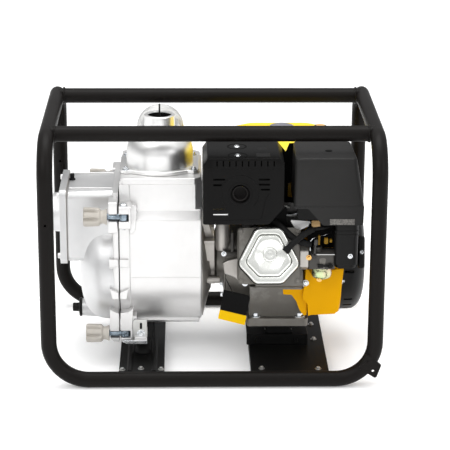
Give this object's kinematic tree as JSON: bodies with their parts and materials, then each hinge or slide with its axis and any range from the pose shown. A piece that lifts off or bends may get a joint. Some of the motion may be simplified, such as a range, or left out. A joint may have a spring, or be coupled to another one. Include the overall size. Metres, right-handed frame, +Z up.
{
  "type": "petrol-engine trash pump",
  "caption": "Portable single-cylinder petrol engine close-coupled to a cast self-priming trash pump, in a black tubular carrying frame with a swing-bolted clean-out cover.",
  "frame": {"origin": "on the ground, under the middle of the carrying frame's box", "axes": "+X from the suction side to the pull starter, along the crankshaft; +Y from the valve-cover side to the discharge side; +Z up"},
  "size_m": [0.694, 0.502, 0.538],
  "materials": {
    "frame_black": "satin black paint",
    "black_paint": "black paint, satin",
    "cast_aluminium": "bead-blasted casting",
    "polished_aluminium": "polished",
    "engine_grey": "grey painted die casting",
    "bright_zinc": "bright zinc plate",
    "beige_plastic": "moulded, fluted",
    "black_plastic": "moulded, fine texture",
    "yellow_paint": "gloss yellow paint",
    "rubber": "matt black rubber",
    "iron": "raw iron and steel",
    "red_plastic": "moulded red plastic"
  },
  "bodies": {
    "frame": {"frame_hoop_left": "frame_black", "frame_hoop_right": "frame_black", "frame_front_bar": "frame_black", "frame_rear_bar": "frame_black", "pump_base_channel": "black_paint", "engine_base_channel": "black_paint", "engine_saddle": "black_paint", "muffler_guard": "black_paint", "pump_casing": "cast_aluminium", "pump_cover": "cast_aluminium", "suction_flange": "cast_aluminium", "piston": "cast_aluminium", "discharge_elbow": "polished_aluminium", "valve_cover": "polished_aluminium", "crankcase": "engine_grey", "crankcase_side_cover": "engine_grey", "cylinder_head": "engine_grey", "carburetor": "engine_grey", "clamp_pin_upper_front": "bright_zinc", "clamp_pin_upper_rear": "bright_zinc", "clamp_pin_lower_front": "bright_zinc", "clamp_pin_lower_rear": "bright_zinc", "float_bowl": "bright_zinc", "control_bracket": "bright_zinc", "mechanical_seal": "black_plastic", "air_cleaner_cover": "black_plastic", "air_cleaner_base": "black_plastic", "recoil_cover": "black_plastic", "fan_shroud": "yellow_paint", "fuel_tank": "yellow_paint", "engine_mount_front": "rubber", "engine_mount_rear": "rubber", "pump_mount_front": "rubber", "pump_mount_rear": "rubber", "cover_gasket": "rubber", "ignition_lead": "rubber", "volute": "iron", "muffler": "iron"},
    "crank": {"crankshaft": "iron", "flywheel": "iron", "impeller": "iron"},
    "cam": {"camshaft": "iron"},
    "check_valve": {"check_valve_flap": "rubber"},
    "priming_plug": {"priming_plug": "black_plastic"},
    "drain_plug": {"drain_plug": "black_plastic"},
    "fuel_cap": {"fuel_cap": "bright_zinc"},
    "throttle": {"throttle_lever": "black_paint"},
    "choke": {"choke_lever": "bright_zinc"},
    "fuel_valve": {"fuel_valve_lever": "black_plastic"},
    "stop_switch": {"engine_switch": "red_plastic"},
    "starter_grip": {"recoil_grip": "black_plastic"},
    "dipstick": {"oil_dipstick": "black_plastic"},
    "bolt_upper_front": {"swing_bolt_upper_front": "bright_zinc"},
    "knob_upper_front": {"clamp_knob_upper_front": "beige_plastic"},
    "bolt_upper_rear": {"swing_bolt_upper_rear": "bright_zinc"},
    "knob_upper_rear": {"clamp_knob_upper_rear": "beige_plastic"},
    "bolt_lower_front": {"swing_bolt_lower_front": "bright_zinc"},
    "knob_lower_front": {"clamp_knob_lower_front": "beige_plastic"},
    "bolt_lower_rear": {"swing_bolt_lower_rear": "bright_zinc"},
    "knob_lower_rear": {"clamp_knob_lower_rear": "beige_plastic"}
  },
  "joints": [
    {"name": "crank_spin", "type": "hinge", "parent": "frame", "child": "crank", "pos_m": [0.1, 0, 0.205], "axis": [1, 0, 0], "continuous": true},
    {"name": "cam_spin", "type": "hinge", "parent": "frame", "child": "cam", "pos_m": [0.1, 0.0585, 0.235], "axis": [1, 0, 0], "continuous": true},
    {"name": "bolt_swing_upper_front", "type": "hinge", "parent": "frame", "child": "bolt_upper_front", "pos_m": [-0.18, -0.14, 0.3335], "axis": [0, 0, 1], "range_deg": [0, 100]},
    {"name": "bolt_swing_upper_rear", "type": "hinge", "parent": "frame", "child": "bolt_upper_rear", "pos_m": [-0.18, 0.14, 0.3335], "axis": [0, 0, -1], "range_deg": [0, 100]},
    {"name": "bolt_swing_lower_front", "type": "hinge", "parent": "frame", "child": "bolt_lower_front", "pos_m": [-0.18, -0.115, 0.0705], "axis": [0, 0, 1], "range_deg": [0, 100]},
    {"name": "bolt_swing_lower_rear", "type": "hinge", "parent": "frame", "child": "bolt_lower_rear", "pos_m": [-0.18, 0.115, 0.0705], "axis": [0, 0, -1], "range_deg": [0, 100]},
    {"name": "knob_turn_upper_front", "type": "hinge", "parent": "bolt_upper_front", "child": "knob_upper_front", "pos_m": [-0.2375, -0.14, 0.3335], "axis": [1, 0, 0], "continuous": true},
    {"name": "knob_turn_upper_rear", "type": "hinge", "parent": "bolt_upper_rear", "child": "knob_upper_rear", "pos_m": [-0.2375, 0.14, 0.3335], "axis": [1, 0, 0], "continuous": true},
    {"name": "knob_turn_lower_front", "type": "hinge", "parent": "bolt_lower_front", "child": "knob_lower_front", "pos_m": [-0.2375, -0.115, 0.0705], "axis": [1, 0, 0], "continuous": true},
    {"name": "knob_turn_lower_rear", "type": "hinge", "parent": "bolt_lower_rear", "child": "knob_lower_rear", "pos_m": [-0.2375, 0.115, 0.0705], "axis": [1, 0, 0], "continuous": true},
    {"name": "check_valve_swing", "type": "hinge", "parent": "frame", "child": "check_valve", "pos_m": [-0.296, 0, 0.352], "axis": [0, -1, 0], "range_deg": [0, 55]},
    {"name": "priming_plug_turn", "type": "hinge", "parent": "frame", "child": "priming_plug", "pos_m": [-0.107, -0.02, 0.514], "axis": [0, 0, 1], "continuous": true},
    {"name": "drain_plug_turn", "type": "hinge", "parent": "frame", "child": "drain_plug", "pos_m": [-0.28, 0.02, 0.078], "axis": [1, 0, 0], "continuous": true},
    {"name": "fuel_cap_turn", "type": "hinge", "parent": "frame", "child": "fuel_cap", "pos_m": [0.149, 0.029, 0.474], "axis": [0, 0, 1], "range_deg": [0, 90]},
    {"name": "throttle_swing", "type": "hinge", "parent": "frame", "child": "throttle", "pos_m": [0.16, -0.121, 0.33], "axis": [0, 1, 0], "range_deg": [0, 50]},
    {"name": "choke_swing", "type": "hinge", "parent": "frame", "child": "choke", "pos_m": [0.208, -0.1732, 0.259], "axis": [0, 1, 0], "range_deg": [0, 75]},
    {"name": "fuel_valve_swing", "type": "hinge", "parent": "frame", "child": "fuel_valve", "pos_m": [0.241, -0.1732, 0.238], "axis": [0, -1, 0], "range_deg": [0, 90]},
    {"name": "stop_switch_turn", "type": "hinge", "parent": "frame", "child": "stop_switch", "pos_m": [0.237, 0.08054, 0.30099], "axis": [0, 0.6428, 0.766], "range_deg": [0, 60]},
    {"name": "starter_pull", "type": "slide", "parent": "frame", "child": "starter_grip", "axis": [0, -0.9397, 0.342], "range_m": [0, 0.19], "stiffness_N_per_m": 40, "springref_m": -0.3},
    {"name": "dipstick_turn", "type": "hinge", "parent": "frame", "child": "dipstick", "pos_m": [0.1, 0.12, 0.165], "axis": [0, 1, 0], "continuous": true}
  ],
  "couplings": [
    {"joint": "cam_spin", "follows": "crank_spin", "ratio": -0.5}
  ]
}
